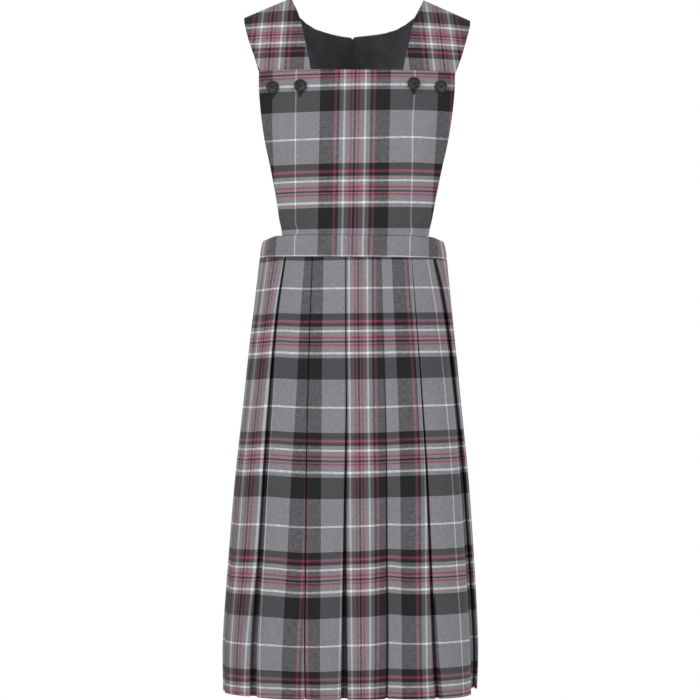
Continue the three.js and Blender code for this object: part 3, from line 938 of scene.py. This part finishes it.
# The creases down the skirt, by distance round it, where it is CREASE_RING round, and height
CREASE_RING = 800
SKIRT_CREASES = table(
    CREASE_COLUMNS,
    (-145, -600, 190, 12, 1.6, 1),
    (-112, -470, 150, 9, -1.1, -2),
    (-88, -690, 120, 13, -1.6, 2),
    (-70, -420, 120, 8, 0.9, 3),
    (-30, -610, 170, 11, 1.0, 1),
    (-24, -740, 80, 12, -1.3, -1),
    (14, -520, 210, 9, 0.9, -1),
    (28, -730, 90, 11, -1.3, 1),
    (42, -690, 130, 7, 2.2, 0),
    (52, -450, 130, 9, -0.9, -2),
    (66, -660, 150, 12, 1.3, -2),
    (96, -500, 160, 10, 1.1, -3),
    (126, -700, 120, 14, -1.8, -3),
    (150, -560, 180, 12, 1.4, -2),
    (196, -640, 170, 14, -1.5, 1),
    (232, -520, 200, 12, 1.2, 0),
    (262, -710, 110, 15, -1.7, 1),
    (300, -560, 190, 13, 1.3, -1),
    (338, -690, 130, 14, -1.6, 0),
    (372, -480, 160, 11, 1.1, 2),
    (404, -650, 170, 13, 1.4, 1),
)
# Where the cloth hangs lower, or higher where it is negative, than a level cut
HEM_SAGS = table(
    CREASE_COLUMNS,
    (-52, -690, 110, 34, 2.2, 0),
    (40, -690, 110, 16, -2.6, 0),
    (-118, -640, 140, 20, -1.2, 0),
    (-185, -803, 24, 50, 2.4, 0),
    (176, -806, 16, 30, -4.2, 0),
    (330, -740, 90, 30, 1.8, 0),
    (440, -740, 90, 26, -1.6, 0),
)
# How far the check's weft rises on parts of the skirt, by the same two measures
WEFT_LIFTS = table(
    CREASE_COLUMNS,
    (-95, -540, 420, 24, 1.9, 4),
    (-2, -520, 90, 36, -1.4, 0),
    (38, -520, 70, 18, -0.9, 0),
)
LEFT_SWAY = 1.6


def sway(points):
    """Moves the left side of the skirt or waistband out a little, as the dress hangs."""
    points[..., 0] -= LEFT_SWAY * ease(-points[..., 0], 40, 110)
    return points


def skirt(name, side):
    """Half of the skirt, in eight box pleats whose edges meet at the waist and open to the hem."""
    rows = 92
    z = np.linspace(SKIRT_TOP_Z, HEM_Z, rows + 1)
    down = (SKIRT_TOP_Z - z) / (SKIRT_TOP_Z - HEM_Z)
    sections = [smooth(SKIRT, "z", z, c) for c in ("half_width", "half_depth", "square")]
    rings = [measured_ring(section) for section in zip(*sections)]
    waist_length = rings[0][0][-1]
    drops = FRONT_RECESSES["drop"] if side < 0 else np.full(BACK_PLEATS + 1, BACK_DROP)
    points, check = [], []
    for r in range(rows + 1):
        whole = rings[r][0][-1]
        starts, widths = recesses(side, whole, waist_length, down[r])
        faces, middles = faces_on_row(side, starts, widths, down[r])
        s, d, u = pleated_row(starts, widths, faces, middles, drops * down[r] ** 0.5)
        centre = starts + widths / 2
        away = np.abs(s[:, None] - centre[None, :])
        groove = GROOVE_AT_WAIST + (GROOVE_AT_HEM - GROOVE_AT_WAIST) * down[r]
        press = (groove * np.exp(-((away / GROOVE_WIDTH) ** 2))).max(axis=1)
        at = s / whole * CREASE_RING
        press += crease_depth(SKIRT_CREASES, at, z[r]) * ease(down[r], 0.02, 0.2)
        flat = sway(on_ring(rings[r], s, d + SKIRT_MIDDLE + press))
        sag = crease_depth(HEM_SAGS, at, z[r])
        points.append(np.column_stack([flat, z[r] - sag]))
        rise = WEFT_RISE * flat[:, 0] + WAIST_RISE * np.exp(-down[r] / WAIST_RISE_REACH)
        rise += crease_depth(WEFT_LIFTS, at, z[r])
        check.append(np.column_stack([u, SKIRT_WEFT_START - z[r] + rise]))
    return lay(f"{name}_pleats", np.array(points), np.array(check), SKIRT_THICKNESS, edge=0)


def copy_of(model, name):
    """A copy of a finished model with a mesh of its own."""
    made = model.copy()
    made.data = model.data.copy()
    made.name = made.data.name = name
    bpy.context.collection.objects.link(made)
    return made


def button_model():
    """A turned button, lying at the origin with its face up, in millimetres."""
    deselect_all()
    bpy.ops.mesh.primitive_cylinder_add(
        vertices=64, radius=BUTTON_RADIUS, depth=BUTTON_HEIGHT, location=(0, 0, BUTTON_HEIGHT / 2)
    )
    bpy.ops.object.transform_apply(location=True, rotation=True, scale=True)
    model = bpy.context.object
    bpy.ops.object.mode_set(mode="EDIT")
    bpy.ops.mesh.select_mode(type="FACE")
    bpy.ops.mesh.select_all(action="DESELECT")
    bpy.ops.object.mode_set(mode="OBJECT")
    for face in model.data.polygons:
        face.select = face.normal.z > 0.9
    bpy.ops.object.mode_set(mode="EDIT")
    bpy.ops.mesh.inset(thickness=BUTTON_RIM_WIDTH)
    bpy.ops.mesh.inset(thickness=BUTTON_WELL)
    bpy.ops.transform.translate(value=(0, 0, -BUTTON_WELL))
    bpy.ops.object.mode_set(mode="OBJECT")
    round_edges(model, "tumbled_edges", BUTTON_EDGE, 3, 25)
    for i in range(4):
        angle = (i + 0.5) * math.pi / 2
        deselect_all()
        bpy.ops.mesh.primitive_cylinder_add(
            vertices=20,
            radius=BUTTON_HOLE_RADIUS,
            depth=4 * BUTTON_HEIGHT,
            location=Vector((math.cos(angle), math.sin(angle), 0)) * BUTTON_HOLE_OFFSET,
        )
        drill = bpy.context.object
        modify(model, "drilled_hole", "BOOLEAN", operation="DIFFERENCE", object=drill)
        bpy.data.objects.remove(drill, do_unlink=True)
    select_only(model)
    bpy.ops.object.shade_smooth_by_angle(angle=math.radians(40))
    return model


def thread_model():
    """Two pairs of thread loops that hold a button, down through its holes."""
    loops = []
    well = BUTTON_HEIGHT - BUTTON_WELL
    reach = BUTTON_HOLE_OFFSET * math.cos(math.pi / 4)
    for row in (-1, 1):
        for strand in (-STRAND_OFFSET, STRAND_OFFSET):
            deselect_all()
            bpy.ops.mesh.primitive_torus_add(
                major_radius=reach,
                minor_radius=THREAD_RADIUS,
                major_segments=28,
                minor_segments=8,
                location=(0, row * reach + strand, well - reach * LOOP_SUNK),
                rotation=(math.pi / 2, 0, 0),
            )
            loops.append(bpy.context.object)
    select_only(*loops)
    bpy.ops.object.join()
    bpy.ops.object.transform_apply(location=True, rotation=True, scale=True)
    bpy.ops.object.shade_smooth_by_angle(angle=math.radians(60))
    return loops[0]


def buttonhole_model():
    """A worked buttonhole, upright and flat: close stitches all round it, in millimetres."""
    deselect_all()
    bpy.ops.mesh.primitive_cylinder_add(
        vertices=6, radius=STITCH_RADIUS, depth=STITCH_LENGTH, rotation=(0, math.pi / 2, 0)
    )
    bpy.ops.object.transform_apply(location=True, rotation=True, scale=True)
    stitch = bpy.context.object
    straight = (BUTTONHOLE_LENGTH - BUTTONHOLE_WIDTH) / 2
    radius = BUTTONHOLE_WIDTH / 2
    stitches = []
    for step in range(SIDE_STITCHES):
        down = straight * (1 - 2 * step / (SIDE_STITCHES - 1))
        stitches += [(radius, down, 0), (-radius, down, math.pi)]
    for step in range(1, END_STITCHES + 1):
        turn = step / (END_STITCHES + 1) * math.pi
        stitches += [(radius * math.cos(turn), straight + radius * math.sin(turn), turn)]
        stitches += [(radius * math.cos(turn), -straight - radius * math.sin(turn), -turn)]
    made = []
    for i, (x, y, turn) in enumerate(stitches):
        one = copy_of(stitch, f"stitch_{i}")
        one.data.transform(Matrix.Translation((x, y, 0.1)) @ Matrix.Rotation(turn, 4, "Z"))
        made.append(one)
    bpy.data.objects.remove(stitch, do_unlink=True)
    select_only(*made)
    bpy.ops.object.join()
    return made[0]


def bib_face(x, z):
    """A point of the bib's outer face, with the way it faces."""
    step = 0.5
    point = bib_shape(x, z)
    across = bib_shape(x + step, z) - point
    up = bib_shape(x, z + step) - point
    facing = np.cross(across, up)
    facing /= np.linalg.norm(facing, axis=-1, keepdims=True)
    return point + facing * BIB_THICKNESS / 2, facing


def seat_on_bib(piece, x, z, gap):
    """Places a model in millimetres flat on the bib's face, its own Y pointing up the bib."""
    point, facing = bib_face(np.array([float(x)]), np.array([float(z)]))
    outward = Vector(facing[0]).normalized()
    right = Vector((0, 0, 1)).cross(outward).normalized()
    up = outward.cross(right)
    turn = Matrix((right, up, outward)).transposed().to_4x4()
    place = Matrix.Translation((Vector(point[0]) + outward * gap) * MM)
    piece.data.transform(place @ Matrix.Scale(MM, 4) @ turn)


def wrap_on_bib(piece, x, z):
    """Wraps a thin model in millimetres onto the bib's face."""
    flat = np.empty(len(piece.data.vertices) * 3)
    piece.data.vertices.foreach_get("co", flat)
    flat = flat.reshape(-1, 3)
    point, facing = bib_face(x + flat[:, 0], z + flat[:, 1])
    placed = point + facing * flat[:, 2:3]
    piece.data.vertices.foreach_set("co", (placed * MM).ravel())
    piece.data.update()


def finish_piece(piece, material, slot, *nodes):
    """Gives a piece its material and its body, and puts it in its solid's place. The slot is not
    used.
    """
    piece.data.materials.clear()
    piece.data.materials.append(material)
    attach(piece, "root")
    if nodes:
        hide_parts(*nodes)


def fastenings(resin, thread):
    """The four buttons with their thread, each over its buttonhole and turned its own way."""
    button, loops, hole = button_model(), thread_model(), buttonhole_model()
    for name, (x, z) in BUTTONS.items():
        turned, sewn = copy_of(button, f"{name}_turned"), copy_of(loops, f"{name}_thread")
        for piece in (turned, sewn):
            piece.data.transform(Matrix.Rotation(math.radians(x), 4, "Z"))
            seat_on_bib(piece, x, z, BUTTON_GAP)
        finish_piece(turned, resin, "button", name)
        finish_piece(sewn, thread, "button")
        worked = copy_of(hole, name.replace("button", "buttonhole"))
        wrap_on_bib(worked, x, z - BUTTONHOLE_DROP)
        finish_piece(worked, thread, "check_cloth")
    for model in (button, loops, hole):
        bpy.data.objects.remove(model, do_unlink=True)


def dress():
    """Every piece of the dress, in its material and its place."""
    check, lining, resin, thread = check_cloth(), lining_cloth(), button_resin(), sewing_thread()
    front = bib()
    finish_piece(front, check, "check_cloth", "bib")
    for name, side in (("left", -1), ("right", 1)):
        back = half_back(f"back_{name}", side)
        finish_piece(back, check, "check_cloth", f"back_{name}")
        inside = half_lining(f"lining_{name}", side)
        finish_piece(inside, lining, "lining_cloth", f"lining_{name}")
    for name, side in (("front", -1), ("back", 1)):
        band = waistband(f"waistband_{name}", side)
        finish_piece(band, check, "check_cloth", f"waistband_{name}")
        pleats = skirt(f"skirt_{name}", side)
        finish_piece(pleats, check, "check_cloth", f"skirt_{name}")
    fastenings(resin, thread)


# The stage: a pale floor, soft light, and the camera level with the middle of the dress

CAMERA_DISTANCE = 3.0
PHOTO_PIXELS = 700
MM_PER_PIXEL = 1.2
SENSOR_WIDTH = 36
CAMERA_X, CAMERA_Z = -0.004, -0.4
CAMERA_ROLL = -0.45
FLOOR_RADIUS, FLOOR_Z = 2.2, -1.2
FLOOR_PAINT = "D8D8D8"
WHITE_LIGHT = (1, 1, 1, 1)
ROOM_LIGHT = 0.34
DRESS_MIDDLE = (0, 0, -0.3)


def camera():
    """The camera, level and a little rolled, with a lens that gives the photo's scale."""
    focal_pixels = CAMERA_DISTANCE / (MM_PER_PIXEL * MM)
    data = bpy.data.cameras.new("camera")
    data.sensor_width = SENSOR_WIDTH
    data.lens = focal_pixels * SENSOR_WIDTH / PHOTO_PIXELS
    made = bpy.data.objects.new("camera", data)
    bpy.context.collection.objects.link(made)
    made.location = (CAMERA_X, -CAMERA_DISTANCE, CAMERA_Z)
    made.rotation_euler = (math.pi / 2, math.radians(CAMERA_ROLL), 0)
    bpy.context.scene.camera = made


def floor():
    """A pale painted floor: matt, so that it shows no reflection."""
    deselect_all()
    bpy.ops.mesh.primitive_circle_add(
        vertices=96, radius=FLOOR_RADIUS, fill_type="NGON", location=(0, 0, FLOOR_Z)
    )
    made = bpy.context.object
    made.name = "floor"
    bpy.ops.object.transform_apply(location=True, rotation=True, scale=True)
    paint, tree, shader = new_material("pale_studio_floor")
    set_inputs(tree, shader, {"Base Color": colour(FLOOR_PAINT), "Roughness": 0.9})
    made.data.materials.append(paint)


def soft_light(name, place, aim, size, watts):
    """A soft box at a place, turned to what it lights."""
    data = bpy.data.lights.new(name, "AREA")
    data.shape = "RECTANGLE"
    data.size, data.size_y = size
    data.energy = watts
    made = bpy.data.objects.new(name, data)
    bpy.context.collection.objects.link(made)
    made.location = place
    made.rotation_mode = "QUATERNION"
    made.rotation_quaternion = (Vector(aim) - Vector(place)).to_track_quat("-Z", "Y")


def studio():
    """A white room: the backdrop is bright, and less light comes back from it to the cloth."""
    world = bpy.data.worlds.new("white_studio")
    bpy.context.scene.world = world
    world.use_nodes = True
    tree = world.node_tree
    backdrop = tree.nodes["Background"]
    set_inputs(tree, backdrop, {0: WHITE_LIGHT})
    room = add(tree, "ShaderNodeBackground", {0: WHITE_LIGHT, 1: ROOM_LIGHT})
    seen = add(tree, "ShaderNodeLightPath")
    parts = {0: seen.outputs["Is Camera Ray"], 1: room, 2: backdrop}
    both = add(tree, "ShaderNodeMixShader", parts)
    set_inputs(tree, tree.nodes["World Output"], {0: both})
    soft_light("key", (-1.5, -1.6, 0.7), DRESS_MIDDLE, (0.9, 1.2), 31)
    soft_light("fill", (1.6, -1.6, 0.5), DRESS_MIDDLE, (0.9, 1.2), 24)
    soft_light("above", (0.2, -0.5, 1.7), (0, 0, 0), (1.2, 1.0), 1)
    soft_light("back_left", (-2.0, 2.4, 0.3), DRESS_MIDDLE, (1.4, 2.0), 32)
    soft_light("back_right", (2.2, 2.3, 0.1), DRESS_MIDDLE, (1.4, 2.0), 30)
    bpy.context.scene.view_settings.view_transform = "Standard"


dress()
floor()
camera()
studio()
